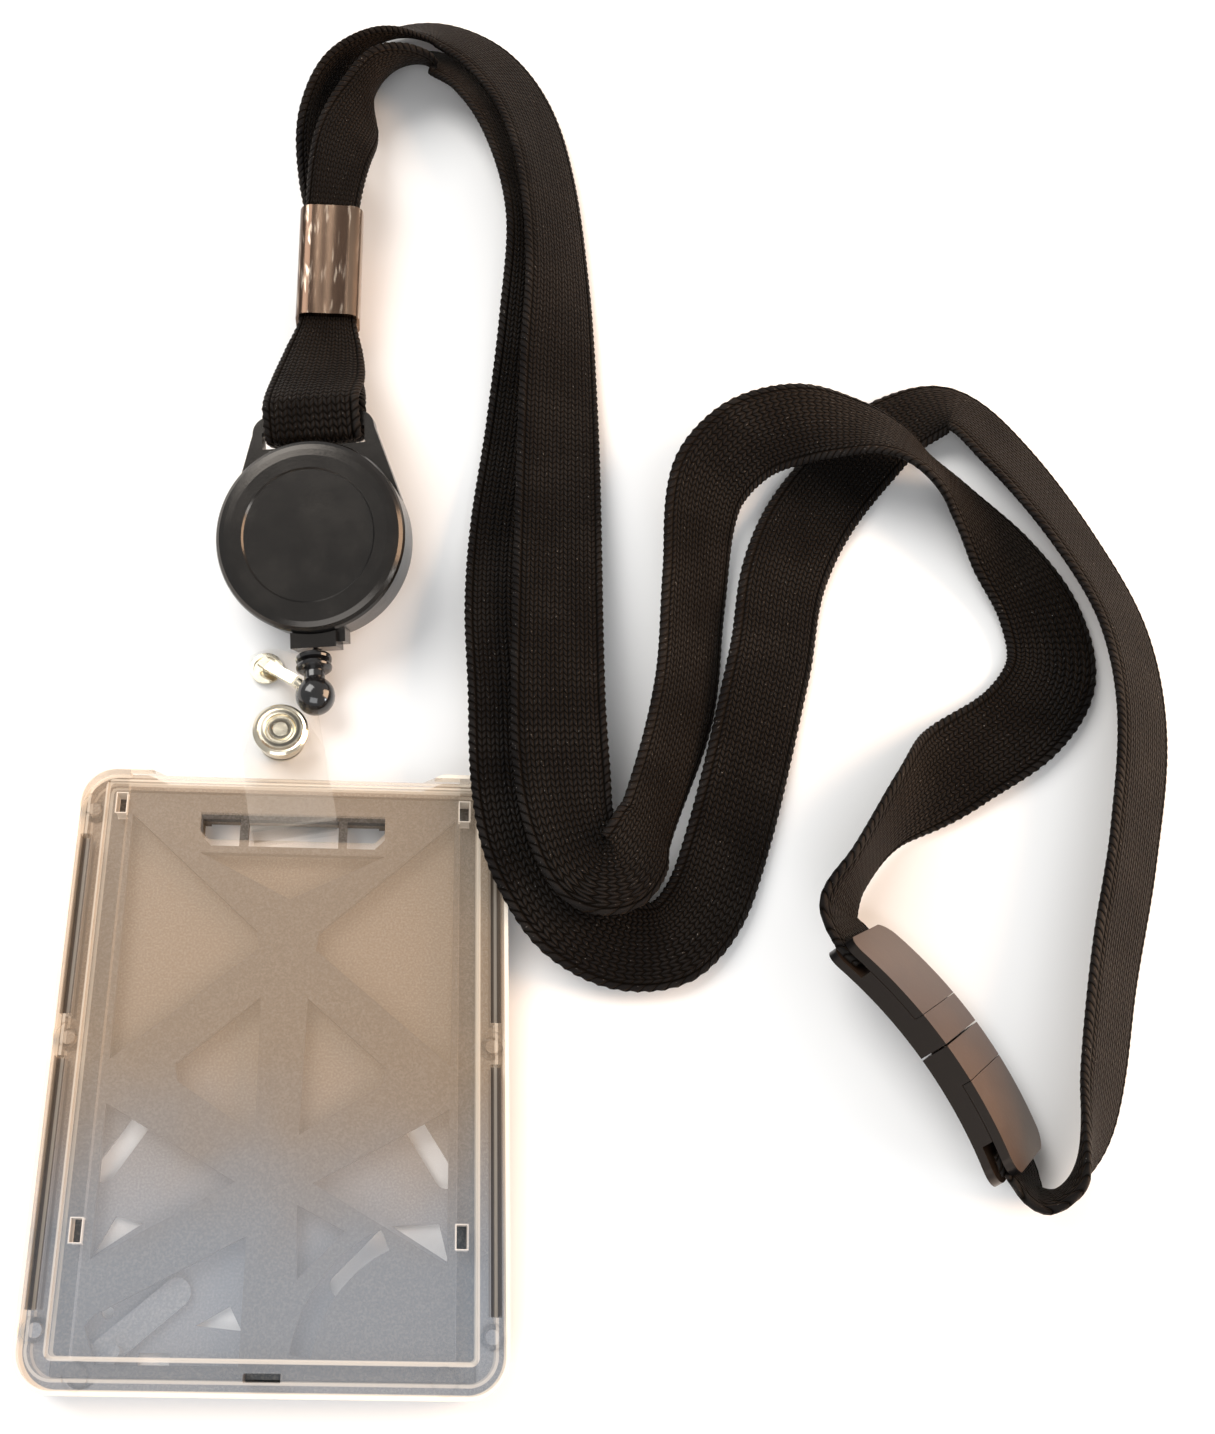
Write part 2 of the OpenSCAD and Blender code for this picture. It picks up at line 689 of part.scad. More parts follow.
module plate_pockets() {
    polygon([[-15.2, 33.6], [15.2, 33.6], [0, 26]]);
    both_sides() {
        polygon([[26.6, 40], [26.3, -0.1], [4.5, 17.8], [5, 20.7]]);
        polygon([[26.1, -6.7], [5.8, -17.8], [26.1, -29]]);
    }
    polygon([[3.7, 10], [16.2, -0.5], [15.7, -3.2], [3.3, -10.9]]);
    polygon([[-3.7, 10], [-16.2, -0.5], [-15.7, -3.2], [-3.3, -10.9]]);
    polygon([[-3.6, -25.4], [-24.8, -36.5], [-26, -38], [-24, -43], [-3.6, -43]]);
    polygon([[3.6, -20.9], [10.9, -24.5], [4.1, -31.3]]);
}

// curved slot round the lower right corner
module plate_arc() {
    translate([25.6, -44.3])
    intersection() {
        difference() {
            circle(22.3);
            circle(19.1);
        }
        polygon([[0, 0], [-13, 28], [-30, 28], [-30, 4]]);
    }
}

module rib_plate() {
    color([0.42, 0.39, 0.38])
    translate([0, 0, plate_bottom])
    difference() {
        translate([-30.1, -44.6, 0]) cube([60.2, 88.2, plate_thickness]);
        translate([0, 0, -1]) linear_extrude(4) plate_pockets();
        translate([0, 0, -1]) linear_extrude(4) plate_arc();
        // strap slot in three windows, with two ribs between them
        translate([0, 0, -1])
        linear_extrude(4)
        difference() {
            strap_slot();
            translate([-8.8, 30]) square([1.4, 12]);
            translate([7.4, 30]) square([1.4, 12]);
        }
    }
}

// thumb lever under the plate: its heel pushes the card's lower edge up
module ejector_lever() {
    color([0.5, 0.47, 0.46])
    translate([0, 0, floor_thickness + 0.15])
    union() {
        difference() {
            linear_extrude(1) {
                capsule(lever_pivot, lever_tip, 4.2);
            }
            translate([lever_pivot[0], lever_pivot[1], -1]) cylinder(r = 1.2 + running, h = 4);
        }
        translate([-21.2, -41.2, 0.5]) cylinder(r = 0.8, h = 3.2);
    }
}

neck_strap_left();
neck_strap_right();
strap_loop();
crimp();
clasp_socket();
clasp_socket_jaw();
clasp_plug();
clasp_plug_jaw();
reel_front_cover();
reel_back_case();
reel_spool();
cord_winding();
mainspring();
pull_cord();
cord_end();
metal_link();
badge_strap();
strap_flap();
strap_eyelet();
snap_cap();
snap_socket();
snap_stud();
snap_post();
holder_front();
holder_back();
rib_plate();
ejector_lever();
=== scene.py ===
"""Looks of the lanyard badge holder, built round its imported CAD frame. Metres, in the row frame."""
import math

import bmesh
import bpy
import numpy as np
from mathutils import Matrix, Vector


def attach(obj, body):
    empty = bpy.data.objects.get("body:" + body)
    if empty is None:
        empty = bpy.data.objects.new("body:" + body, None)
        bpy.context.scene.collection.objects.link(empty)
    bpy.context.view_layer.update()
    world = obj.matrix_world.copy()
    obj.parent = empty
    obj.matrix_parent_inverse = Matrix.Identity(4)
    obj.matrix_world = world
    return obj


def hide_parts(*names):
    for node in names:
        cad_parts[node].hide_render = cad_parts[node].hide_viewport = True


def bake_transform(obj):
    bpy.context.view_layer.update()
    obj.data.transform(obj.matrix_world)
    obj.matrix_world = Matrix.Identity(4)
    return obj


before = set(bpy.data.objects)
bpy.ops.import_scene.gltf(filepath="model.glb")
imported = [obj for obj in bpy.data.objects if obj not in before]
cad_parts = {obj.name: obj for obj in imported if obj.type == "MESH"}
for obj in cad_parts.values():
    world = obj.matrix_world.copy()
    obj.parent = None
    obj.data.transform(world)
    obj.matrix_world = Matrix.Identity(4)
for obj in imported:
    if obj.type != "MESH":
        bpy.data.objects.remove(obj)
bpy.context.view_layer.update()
scene = bpy.context.scene
MM = 0.001

# ---------------------------------------------------------------- camera

AZIMUTH, ELEVATION, ROLL = (math.radians(a) for a in (4.5, 67.0, 5.8))
CAMERA_PLACE = Vector((15.4, -37.5, 223.3)) * MM
SENSOR, LENS = 36, 35.1464
SHIFT_X, SHIFT_Y = 0.121688, 0.01325
forward = Vector((
    math.sin(AZIMUTH) * math.cos(ELEVATION),
    math.cos(AZIMUTH) * math.cos(ELEVATION),
    -math.sin(ELEVATION),
))
level = Vector((math.cos(AZIMUTH), -math.sin(AZIMUTH), 0))
above = level.cross(forward)
right = math.cos(ROLL) * level + math.sin(ROLL) * above
up = -math.sin(ROLL) * level + math.cos(ROLL) * above
camera = bpy.data.objects.new("camera", bpy.data.cameras.new("camera"))
scene.collection.objects.link(camera)
camera.data.sensor_width = SENSOR
camera.data.lens = LENS
camera.data.shift_x = SHIFT_X
camera.data.shift_y = SHIFT_Y
camera.data.clip_start = 0.01
camera.data.clip_end = 20
turn = Matrix((right, up, -forward)).transposed().to_4x4()
camera.matrix_world = Matrix.Translation(CAMERA_PLACE) @ turn
scene.camera = camera
scene.view_settings.view_transform = "Standard"

# ---------------------------------------------------------------- material maths


class Value:
    """A number in a node tree: a socket or a constant, with the usual arithmetic."""

    def __init__(self, tree, source):
        self.tree = tree
        self.source = source

    def math(self, operation, *others):
        node = self.tree.nodes.new("ShaderNodeMath")
        node.operation = operation
        for i, item in enumerate((self, *others)):
            feed(self.tree, item, node.inputs[i])
        return Value(self.tree, node.outputs[0])

    def __add__(self, other):
        return self.math("ADD", other)

    def __sub__(self, other):
        return self.math("SUBTRACT", other)

    def __mul__(self, other):
        return self.math("MULTIPLY", other)

    def fract(self):
        return self.math("FRACT")

    def size(self):
        return self.math("ABSOLUTE")

    def hump(self):
        """0 at 0 and 1, 1 in between."""
        away = (self * 2) - 1
        return Value(self.tree, 1.0).math("SUBTRACT", away * away)

    def between(self, low, high, to_low=0.0, to_high=1.0):
        node = self.tree.nodes.new("ShaderNodeMapRange")
        node.interpolation_type = "SMOOTHSTEP"
        feed(self.tree, self, node.inputs["Value"])
        ends = {"From Min": low, "From Max": high, "To Min": to_low, "To Max": to_high}
        for name, number in ends.items():
            node.inputs[name].default_value = number
        return Value(self.tree, node.outputs["Result"])


def feed(tree, item, socket):
    item = item.source if isinstance(item, Value) else item
    if isinstance(item, bpy.types.NodeSocket):
        tree.links.new(item, socket)
    else:
        socket.default_value = item


def blank(name, **settings):
    """A material with one Principled shader, and the values that are the same all over."""
    material = bpy.data.materials.new(name)
    material.use_nodes = True
    tree = material.node_tree
    shader = tree.nodes["Principled BSDF"]
    for key, value in settings.items():
        socket = shader.inputs[key.replace("_", " ")]
        socket.default_value = (*value, 1.0) if isinstance(value, tuple) else value
    return material, tree, shader


def position(tree):
    """Where the point is on its own piece, in metres."""
    return tree.nodes.new("ShaderNodeTexCoord").outputs["Object"]


def axis(tree, vector, which):
    node = tree.nodes.new("ShaderNodeSeparateXYZ")
    tree.links.new(vector, node.inputs[0])
    return Value(tree, node.outputs[which])


def stretched(tree, vector, scale):
    node = tree.nodes.new("ShaderNodeMapping")
    node.inputs["Scale"].default_value = scale
    tree.links.new(vector, node.inputs["Vector"])
    return node.outputs["Vector"]


def noise(tree, vector, scale, detail=2.0, rough=0.5):
    node = tree.nodes.new("ShaderNodeTexNoise")
    node.inputs["Scale"].default_value = scale
    node.inputs["Detail"].default_value = detail
    node.inputs["Roughness"].default_value = rough
    tree.links.new(vector, node.inputs["Vector"])
    return Value(tree, node.outputs[0])


def mixed(tree, share, first, second):
    """A colour between two colours, each a tuple or a socket."""
    node = tree.nodes.new("ShaderNodeMix")
    node.data_type = "RGBA"
    node.clamp_factor = True
    feed(tree, share, node.inputs[0])
    for item, socket in ((first, node.inputs[6]), (second, node.inputs[7])):
        feed(tree, (*item, 1.0) if isinstance(item, tuple) else item, socket)
    return node.outputs[2]


def bump(tree, shader, height, distance, strength=1.0):
    node = tree.nodes.new("ShaderNodeBump")
    node.inputs["Distance"].default_value = distance
    node.inputs["Strength"].default_value = strength
    feed(tree, height, node.inputs["Height"])
    tree.links.new(node.outputs["Normal"], shader.inputs["Normal"])


# ---------------------------------------------------------------- materials


# the knit in millimetres: columns and rows of chevrons, and the stitches along both edges
COLUMN, ROW, EDGE_STITCH = 1.46, 1.2, 1.5
HALF_STRAP, EDGE_STARTS = 8, 6.55
SLANT = 0.55  # how far a stitch leans, in rows
COLUMN_PHASE = 20.5  # keeps the count of columns positive, with one on the strap's middle


def knit():
    """Flat black tubular knit: columns of small chevrons, and a bold slanted stitch at both edges."""
    material, tree, shader = blank(
        "knit", Roughness=0.6, Sheen_Weight=0.03, Sheen_Roughness=0.3, Sheen_Tint=(1.0, 0.66, 0.42),
        Specular_Tint=(1.0, 0.78, 0.6)
    )
    shader.inputs["Specular IOR Level"].default_value = 0.06
    attribute = tree.nodes.new("ShaderNodeAttribute")
    attribute.attribute_name = "knit"
    across = axis(tree, attribute.outputs["Vector"], 0)
    along = axis(tree, attribute.outputs["Vector"], 1)
    column = (across * (1 / COLUMN) + COLUMN_PHASE).fract()
    slant = ((column * 2) - 1).size()
    row = (along * (1 / ROW) + slant * SLANT).fract()
    strand = (column * 2).fract()
    middle = row.hump().math("POWER", 0.7) * strand.hump().math("POWER", 0.6)
    out = across.size() - EDGE_STARTS
    edge_row = (along * (1 / EDGE_STITCH) + out * SLANT).fract()
    edge = edge_row.hump().math("POWER", 0.6) * out.between(0, 0.5)
    is_edge = out.math("GREATER_THAN", 0.0)
    height = middle + (edge - middle) * is_edge
    place = position(tree)
    fibre = noise(tree, place, 2600, 3, 0.7)
    patch = noise(tree, place, 90, 2)
    yarn = mixed(tree, patch.between(0.35, 0.7), (0.0065, 0.0063, 0.0068), (0.0145, 0.0134, 0.013))
    # painted shade: the gaps between the stitches are near black
    dark = mixed(tree, height.between(0.2, 0.85), (0.0003, 0.0003, 0.0003), yarn)
    # painted glints: pale specks on the stitch tops
    painted_glint = fibre.between(0.66, 0.72) * height.between(0.5, 0.9)
    colour = mixed(tree, painted_glint, dark, (0.2, 0.185, 0.17))
    tree.links.new(colour, shader.inputs["Base Color"])
    bump(tree, shader, height + fibre * 0.25, 0.0006, 1.0)
    return material


def plastic(name, base, worn, roughness, grain, coat=0.0, tint=(1.0, 1.0, 1.0)):
    """Moulded plastic: a fine skin, with slight drift in colour and gloss."""
    material, tree, shader = blank(name, Coat_Weight=coat, Coat_Roughness=0.12, Specular_Tint=tint)
    place = position(tree)
    patch = noise(tree, place, 140, 4, 0.6)
    fine = noise(tree, place, grain, 2)
    tree.links.new(mixed(tree, patch.between(0.42, 0.72), base, worn), shader.inputs["Base Color"])
    feed(tree, patch.between(0.3, 0.75, roughness - 0.02, roughness + 0.04), shader.inputs["Roughness"])
    bump(tree, shader, fine + patch * 0.4, 0.00004, 0.35)
    return material


# the snap's dark rings are painted reflections
DARK_REFLECTION_RINGS = (0.66, 0.34)  # dark rings on the snap, as shares of its radius


def metal(name, base, dull, roughness, reflection_rings_on=None):
    """Plated metal with faint scratches and tarnish, and painted dark rings round a node's middle, which are
    painted reflections.
    """
    material, tree, shader = blank(name, Metallic=1.0)
    place = position(tree)
    lines = noise(tree, place, 900, 3, 0.6)
    patch = noise(tree, place, 220, 3)
    colour = mixed(tree, patch.between(0.4, 0.75), base, dull)
    if reflection_rings_on:
        corners = np.array([tuple(c) for c in reflection_rings_on.bound_box])
        middle, radius = corners.mean(0), np.ptp(corners[:, 0]) / 2
        x, y = (axis(tree, place, i) - float(middle[i]) for i in (0, 1))
        out = (x * x + y * y).math("SQRT") * float(1 / radius)
        outer, inner = ((out - r).size().between(0.02, 0.1, 1.0, 0.0) for r in DARK_REFLECTION_RINGS)
        # painted reflections: dark rings on the snap
        colour = mixed(tree, (outer + inner) * 0.85, colour, (0.09, 0.08, 0.065))
    tree.links.new(colour, shader.inputs["Base Color"])
    feed(tree, lines.between(0.3, 0.7, roughness - 0.02, roughness + 0.05), shader.inputs["Roughness"])
    bump(tree, shader, lines, 0.00001, 0.1)
    return material


# the clasp's faces turned this way get the painted warm reflection
CLASP_UP = (0.6, 0.4, 0.69)  # where the clasp's upper broad face looks


def clasp_plastic():
    """Black plastic, with a painted warm reflection that turns its upper broad face brown."""
    material, tree, shader = blank("clasp_plastic", Roughness=0.3, Specular_Tint=(1.0, 0.8, 0.66))
    place = position(tree)
    node = tree.nodes.new("ShaderNodeVectorMath")
    node.operation = "DOT_PRODUCT"
    tree.links.new(tree.nodes.new("ShaderNodeTexCoord").outputs["Normal"], node.inputs[0])
    node.inputs[1].default_value = CLASP_UP
    facing = Value(tree, node.outputs["Value"])
    patch = noise(tree, place, 140, 3)
    # painted reflection: brown on the faces turned towards CLASP_UP, broken up by the noise
    painted_sheen = facing.between(0.55, 0.9) * patch.between(0.2, 0.7, 0.75, 1.0)
    tone = mixed(tree, painted_sheen, (0.006, 0.0058, 0.0062), (0.058, 0.032, 0.019))
    tree.links.new(tone, shader.inputs["Base Color"])
    bump(tree, shader, noise(tree, place, 1500, 2), 0.00003, 0.3)
    return material


# marks that the front shell's material paints, in millimetres, the same left and right of the middle:
# painted shade in the grooves and the latch, and painted highlights along the slot, rim and window edges
# the grooves and the latch are painted dark brown: painted shade
GROOVES = (((33, 20.5), (1.0, 14.6)), ((33, -18.15), (1.0, 17.9)))  # middle and half size of each
LATCH = ((0.1, -44.3), (2.7, 0.65))
# the slot outlines are painted in pale cream: painted highlights on the slot edges
SLOT_MIDDLES, SLOT_OUTSIDE, SLOT_INSIDE = ((28, 40.7), (28, -25.2)), (1.1, 1.95), (0.8, 1.65)
# RIM and WINDOW give pale cream lines: painted highlights along the rim and the window's edge
RIM = ((35, 46.9), 6, 0)  # half size, corner radius and the middle's height
WINDOW = ((30.3, 43.2), 1, 1)


def near_box(tree, place, centre, half, soft=0.25):
    """1 inside a box about centre on the holder's front, mirrored in x, all in millimetres."""
    x = axis(tree, place, 0).size() * 1000 - centre[0]
    y = axis(tree, place, 1) * 1000 - centre[1]
    inside_x = x.size().between(half[0] - soft, half[0], 1.0, 0.0)
    return inside_x * y.size().between(half[1] - soft, half[1], 1.0, 0.0)


def rounded_edge(tree, place, half, corner, middle):
    """How far outside a rounded rectangle on the holder's front a point is, in millimetres."""
    x = axis(tree, place, 0).size() * 1000 - (half[0] - corner)
    y = (axis(tree, place, 1) * 1000 - middle).size() - (half[1] - corner)
    out_x, out_y = x.math("MAXIMUM", 0.0), y.math("MAXIMUM", 0.0)
    outside = (out_x * out_x + out_y * out_y).math("SQRT")
    return outside + x.math("MAXIMUM", y).math("MINIMUM", 0.0) - corner


def frosted(name, warm, cool, alpha, roughness, marks=False, specks=0.13):
    """Frosted translucent plastic, warm above and bluish towards the holder's foot."""
    material, tree, shader = blank(
        name, Roughness=roughness, Alpha=alpha, Coat_Weight=0.15, Coat_Roughness=0.25
    )
    place = position(tree)
    height = axis(tree, place, 1)
    cloud = noise(tree, place, 60, 2)
    grain = noise(tree, place, 3000, 1)
    share = (height + (cloud - 0.5) * 0.02).between(-0.032, 0.004)
    tint = mixed(tree, share, cool, warm)
    speck = mixed(tree, grain.between(0.4, 0.7, 0.0, specks), tint, (0.9, 0.86, 0.8))
    if marks:
        # painted shade in the grooves and the latch
        upper, lower = (near_box(tree, place, *groove) for groove in GROOVES)
        dark = upper + lower + near_box(tree, place, *LATCH)
        speck = mixed(tree, dark * 0.85, speck, (0.035, 0.022, 0.015))
        ring = None
        # painted highlights round the slots
        for middle in SLOT_MIDDLES:
            one = near_box(tree, place, middle, SLOT_OUTSIDE) - near_box(tree, place, middle, SLOT_INSIDE)
            ring = one if ring is None else ring + one
        speck = mixed(tree, ring * 0.6, speck, (0.9, 0.82, 0.72))
        # painted highlights along the rim and the window's edge
        rim, window = (rounded_edge(tree, place, *shape) for shape in (RIM, WINDOW))
        lines = rim.between(-0.75, -0.55) + (rim + 1.9).size().between(0.16, 0.3, 0.45, 0.0)
        lines = (lines + window.size().between(0.22, 0.4, 0.55, 0.0)).math("MINIMUM", 1.0)
        speck = mixed(tree, lines, speck, (1.0, 0.9, 0.76))
        shown = dark.math("MAXIMUM", ring.math("MAXIMUM", lines)) * 0.6 + alpha
        feed(tree, shown, shader.inputs["Alpha"])
    tree.links.new(speck, shader.inputs["Base Color"])
    bump(tree, shader, grain, 0.00006, 0.35)
    return material


def painted_edge_highlight():
    """Moulded edges of the holder's shells, painted pale cream: a painted highlight where they catch the
    light.
    """
    material, tree, shader = blank("painted_edge_highlight", Roughness=0.22, Alpha=0.85)
    drift = noise(tree, position(tree), 160, 2)
    tone = mixed(tree, drift.between(0.35, 0.7), (0.74, 0.65, 0.54), (0.93, 0.87, 0.77))
    tree.links.new(tone, shader.inputs["Base Color"])
    return material


def vinyl():
    """Clear vinyl, nearly invisible, with soft ripples."""
    material, tree, shader = blank("vinyl", Roughness=0.12, Alpha=0.05, Coat_Weight=0.1, Coat_Roughness=0.06)
    place = position(tree)
    ripple = noise(tree, place, 120, 2)
    tone = mixed(tree, ripple.between(0.3, 0.7), (0.93, 0.88, 0.78), (0.97, 0.95, 0.9))
    tree.links.new(tone, shader.inputs["Base Color"])
    bump(tree, shader, ripple + noise(tree, place, 900, 2) * 0.1, 0.0003, 0.35)
    return material


def crimp_metal():
    """Coppery sleeve with drawn lines along it, and dark and light bands along it that are painted
    reflections.
    """
    material, tree, shader = blank("crimp_metal", Metallic=1.0)
    place = position(tree)
    lines = noise(tree, stretched(tree, place, (1, 0.002, 1)), 1500, 1)
    # painted reflections: broad dark and light bands along the sleeve
    painted_reflection_bands = noise(tree, stretched(tree, place, (1, 0.002, 0.2)), 330, 1)
    tone = mixed(tree, painted_reflection_bands.between(0.4, 0.62), (0.1, 0.063, 0.044), (0.36, 0.24, 0.165))
    tone = mixed(tree, lines.between(0.55, 0.8, 0.0, 0.5), tone, (0.78, 0.66, 0.54))
    tree.links.new(tone, shader.inputs["Base Color"])
    feed(tree, lines.between(0.3, 0.7, 0.2, 0.26), shader.inputs["Roughness"])
    bump(tree, shader, lines, 0.00001, 0.15)
    return material


KNIT = knit()
CRIMP = crimp_metal()
CLASP = clasp_plastic()
REEL = plastic(
    "reel_plastic", (0.006, 0.0059, 0.006), (0.0095, 0.009, 0.0086), 0.22, 2400, tint=(1.0, 0.92, 0.84)
)
BALL = plastic("ball_plastic", (0.007, 0.0065, 0.007), (0.013, 0.012, 0.012), 0.14, 1200, 0.5)
SPOOL = plastic("spool_plastic", (0.6, 0.6, 0.57), (0.7, 0.69, 0.66), 0.4, 1400)
CORD = plastic("cord_braid", (0.02, 0.019, 0.018), (0.05, 0.045, 0.04), 0.6, 3000)
BRIGHT = metal("bright_metal", (0.74, 0.68, 0.55), (0.66, 0.59, 0.46), 0.17)
SNAP = metal(
    "snap_metal", (0.74, 0.68, 0.55), (0.66, 0.59, 0.46), 0.17, reflection_rings_on=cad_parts["snap_cap"]
)
STEEL = metal("spring_steel", (0.55, 0.56, 0.6), (0.4, 0.4, 0.43), 0.25)
FRONT = frosted("frosted_front", (0.52, 0.4, 0.285), (0.44, 0.49, 0.56), 0.2, 0.36, marks=True)
BACK = frosted("frosted_back", (0.21, 0.155, 0.104), (0.2, 0.23, 0.272), 0.92, 0.5)
PLATE = frosted("grey_plate", (0.056, 0.043, 0.031), (0.056, 0.068, 0.082), 1.0, 0.5, specks=0.07)
LEVER = frosted("lever_plastic", (0.18, 0.165, 0.15), (0.16, 0.185, 0.215), 1.0, 0.4)
EDGE_HIGHLIGHT = painted_edge_highlight()
VINYL = vinyl()

# ---------------------------------------------------------------- cords

STEP = 0.45 * MM
STRAP = (16, 1.8)  # width and thickness
GATHERED = (10.4, 2.6)  # the same where it is bunched in the crimp
TAIL_WIDTH = 15.4  # in the clasp
FACE_POINTS = 27  # points across one face
FURROW_DEPTH, FURROW_AT, FURROW_WIDTH = 0.16, 0.82, 0.035  # shares of the half thickness and half width
BEAD, SWELL = 0.12 * MM, 0.035
OFF_TABLE = 0.03 * MM
# each point of a route: x, y, z, bank in degrees, and the share of the full width where it is squeezed
LEFT_ROUTE = [
    [1.2, 152.4, 6.85, 0], [1.2, 162.3, 8.5, 0], [0, 173, 8, 16], [-1.8, 186, 8.4, 52],
    [-0.8, 199, 8.6, 90], [5, 210, 7.8, 118], [13, 216.6, 6.4, 141], [22, 217.8, 5.4, 153],
    [31.5, 212, 5.2, 157], [39, 199.5, 5.6, 153], [43.6, 180, 6.8, 146], [45.7, 155, 6.4, 147],
    [45.5, 130, 5.2, 162], [44.9, 106, 6, 172], [43.3, 62, 11.1, 178], [43.6, 47, 11.3, 180],
    [44.8, 37, 11.8, 178, 0.92], [48, 30, 11.8, 186, 0.86], [52.6, 30, 11.5, 200, 0.84],
    [55.6, 33.8, 11, 208, 0.84], [57.6, 38.6, 9, 224, 0.86], [65.5, 62, 7, 221],
    [68.6, 84, 6.6, 216], [71.8, 104.5, 7.8, 206], [79, 113.5, 9.6, 200], [89, 117.4, 10.4, 190],
    [98.5, 117.2, 10.6, 168], [106.3, 114.6, 10.8, 152, 0.9], [112.4, 110.2, 9.6, 138, 0.84],
    [119.4, 104.6, 6.2, 147, 0.9], [127, 95, 3.2, 168], [132.5, 84, 2.2, 177], [133, 72, 1.9, 180],
    [126, 62, 2.1, 180], [113, 53, 3.2, 168], [100.5, 43, 7.6, 122], [92, 32, 8.4, 112],
    [88.4, 25, 7.4, 126], [90.35, 20.9, 7.35, 134], [93, 17.9, 8.1, 134],
]
RIGHT_ROUTE = [
    [1.2, 152.4, 9.7, 0], [1.2, 162.3, 11.7, 0], [2.6, 177, 12.8, 20], [5.8, 191, 10.2, 60],
    [8.2, 201, 8.6, 96], [13.5, 207.5, 7.2, 126], [20.5, 210.3, 5.1, 150], [30, 203.5, 5.3, 152],
    [37.5, 187.5, 5.7, 147], [42, 166, 5.4, 147], [41.7, 143, 3.6, 160], [39.8, 120, 2, 174],
    [36.9, 97, 3.4, 180], [35.8, 79, 6.8, 180], [36.3, 62, 8.9, 180], [36.8, 46, 9, 180],
    [38.4, 36, 8.9, 178], [41.5, 28.5, 8.5, 174], [46.2, 22.8, 6.6, 182, 0.95],
    [54.3, 19.6, 4.2, 191, 0.9], [62.8, 21.2, 3.6, 193, 0.88], [69.8, 31.4, 3.4, 194, 0.92],
    [81.8, 71, 3.5, 196], [86, 89, 2.8, 190], [93, 103.5, 1.6, 182], [104, 117.2, 1.6, 178, 0.95],
    [112, 124.2, 2.3, 173, 0.88], [121.6, 126.6, 3.8, 161, 0.88], [130.4, 116.4, 4.2, 156],
    [139.8, 97.5, 5.4, 150], [145.6, 80, 5.7, 147], [145.4, 61, 6.1, 144], [139.5, 38, 6.5, 140],
    [132.5, 17.5, 6.8, 138], [126.6, -2, 7.2, 134], [122.6, -11, 8.2, 120], [117.8, -17.4, 8.8, 94],
    [113.5, -17.9, 8, 62], [111.9, -14, 7.35, 47], [110.4, -10.2, 8.1, 47],
]
LOOP_ROUTE = [
    [1.2, 149.8, 9.2, 0], [1.2, 139.6, 7.35, 0], [1, 131, 9, 0], [0.5, 121, 13.8, 5],
    [-0.3, 112.4, 18.6, 11], [0, 108.9, 17.6, 11], [0.3, 107, 16.2, 11], [0.6, 107.4, 14, 11],
    [1, 108.7, 12.2, 11], [0.8, 114.4, 13.4, 11], [0.8, 122, 9.6, 5], [1, 131, 5.4, 0], [1.2, 139.6, 4.7, 0],
    [1.2, 149.8, 6.5, 0],
]
LOOP_WIDTH = [10.4, 10.8, 14.4, 17, 17.4, 17.4, 17.4, 17.4, 17.4, 17.4, 16, 13, 10.8, 10.4]
LOOP_THICK = [2.6, 2.5, 2, 1.7, 1.6, 1.6, 1.6, 1.6, 1.6, 1.6, 1.7, 2, 2.5, 2.6]


def gather(i, n, small, full, tail):
    """Narrow in the crimp, growing to full, then tail in the clasp."""
    if i < 2:
        return small
    if i < 4:
        return small + (full - small) * (0.35, 0.7)[i - 2]
    return tail if i > n - 3 else full


def strap_rows(route, tail_thickness):
    n = len(route)
    return np.array([
        [*p[:4], (p[4] if len(p) > 4 else 1) * gather(i, n, GATHERED[0], STRAP[0], TAIL_WIDTH),
         gather(i, n, GATHERED[1], STRAP[1], tail_thickness)]
        for i, p in enumerate(route)
    ], float)


def flowing(rows, step):
    """The rows on one smooth curve through them, a fixed step apart."""
    gaps = np.linalg.norm(np.diff(rows[:, :3], axis=0), axis=1)
    at = np.concatenate(([0], np.cumsum(gaps)))
    slope = np.gradient(rows, at, axis=0)
    slope[1:-1] = (rows[2:] - rows[:-2]) / (at[2:] - at[:-2])[:, None]
    fine = np.linspace(0, at[-1], int(at[-1] / (step * 0.4)) + 1)
    i = np.clip(np.searchsorted(at, fine, side="right") - 1, 0, len(at) - 2)
    h = (at[i + 1] - at[i])[:, None]
    s = (fine[:, None] - at[i][:, None]) / h
    curve = (
        (1 + 2 * s) * (1 - s) ** 2 * rows[i] + s * (1 - s) ** 2 * h * slope[i]
        + s * s * (3 - 2 * s) * rows[i + 1] + s * s * (s - 1) * h * slope[i + 1]
    )
    run = np.concatenate(([0], np.cumsum(np.linalg.norm(np.diff(curve[:, :3], axis=0), axis=1))))
    even = np.linspace(0, run[-1], int(round(run[-1] / step)) + 1)
    return np.stack([np.interp(even, run, curve[:, c]) for c in range(rows.shape[1])], axis=1), even


def unit(v):
    return v / np.linalg.norm(v, axis=1)[:, None]


def make_mesh(name, points, faces, attribute=None, material=None):
    mesh = bpy.data.meshes.new(name)
    mesh.from_pydata(points.tolist(), [], faces)
    work = bmesh.new()
    work.from_mesh(mesh)
    bmesh.ops.recalc_face_normals(work, faces=work.faces)
    work.to_mesh(mesh)
    work.free()
    mesh.polygons.foreach_set("use_smooth", [True] * len(mesh.polygons))
    if attribute is not None:
        layer = mesh.attributes.new("knit", "FLOAT_VECTOR", "POINT")
        layer.data.foreach_set("vector", attribute.astype(np.float32).ravel())
    thing = bpy.data.objects.new(name, mesh)
    scene.collection.objects.link(thing)
    if material:
        mesh.materials.append(material)
    return thing


def ring_faces(rings, around):
    """Quads between rings, and a cap at each end."""
    faces = []
    for a in range(0, (rings - 1) * around, around):
        for k in range(around):
            following = (k + 1) % around
            faces.append((a + k, a + around + k, a + around + following, a + following))
    return [*faces, tuple(range(around)), tuple(range(rings * around - 1, (rings - 1) * around - 1, -1))]


